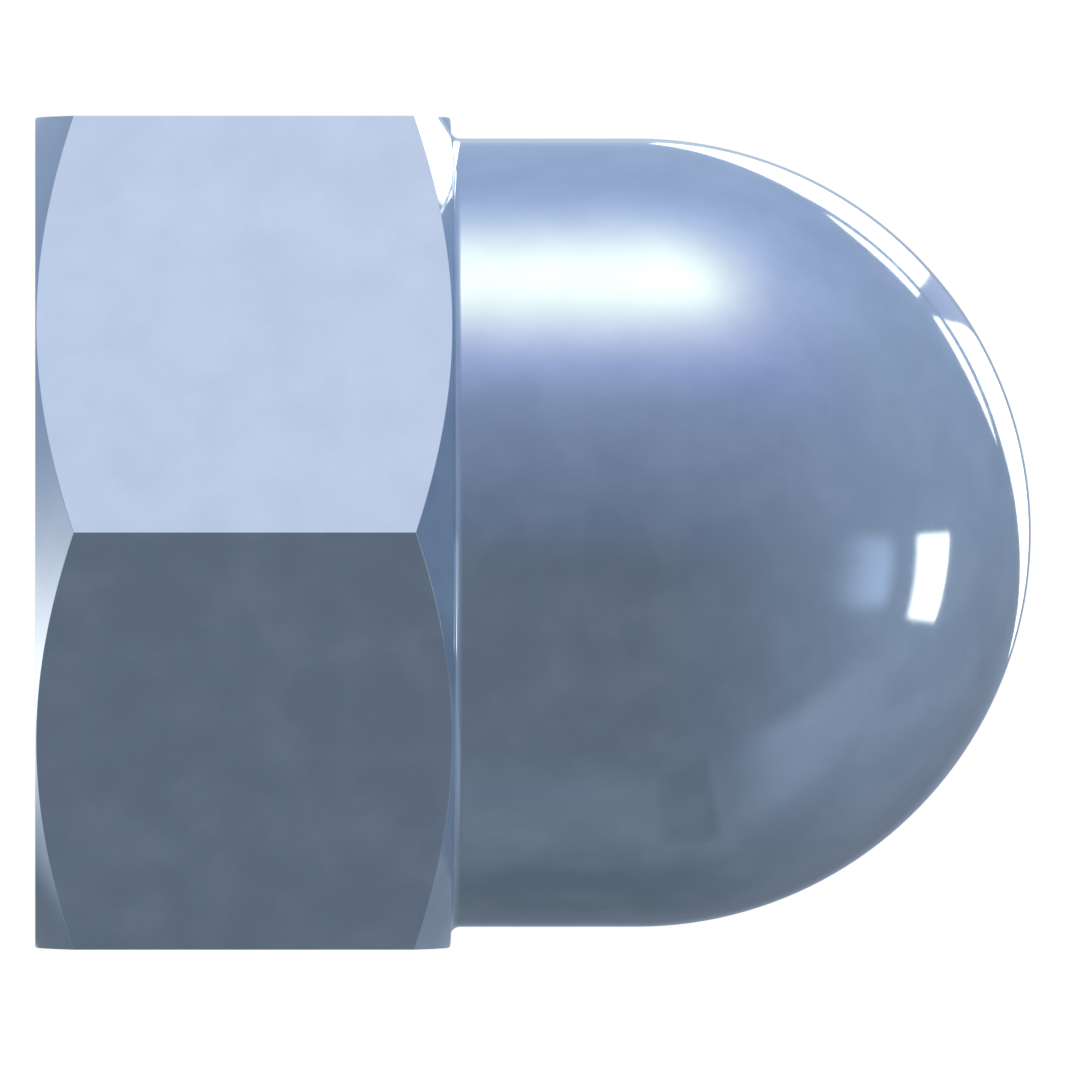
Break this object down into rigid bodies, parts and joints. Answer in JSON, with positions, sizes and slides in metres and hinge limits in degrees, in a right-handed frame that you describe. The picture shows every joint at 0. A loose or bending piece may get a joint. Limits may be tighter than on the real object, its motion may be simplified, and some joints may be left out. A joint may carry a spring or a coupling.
{
  "type": "cap nut",
  "caption": "Domed cap nut: a hexagon with chamfered corners under a round dome, and a blind threaded hole that opens at its flat bearing face.",
  "frame": {"origin": "centre of the flat bearing face, where the thread axis meets it", "axes": "+Z along the thread axis from the bearing face to the top of the dome; flats of the hexagon face -X and +X, and corners point to -Y and +Y"},
  "size_m": [0.01, 0.0116, 0.012],
  "materials": {
    "zinc_plated_steel": "gloss"
  },
  "bodies": {
    "root": {"cap_nut": "zinc_plated_steel"}
  },
  "joints": []
}
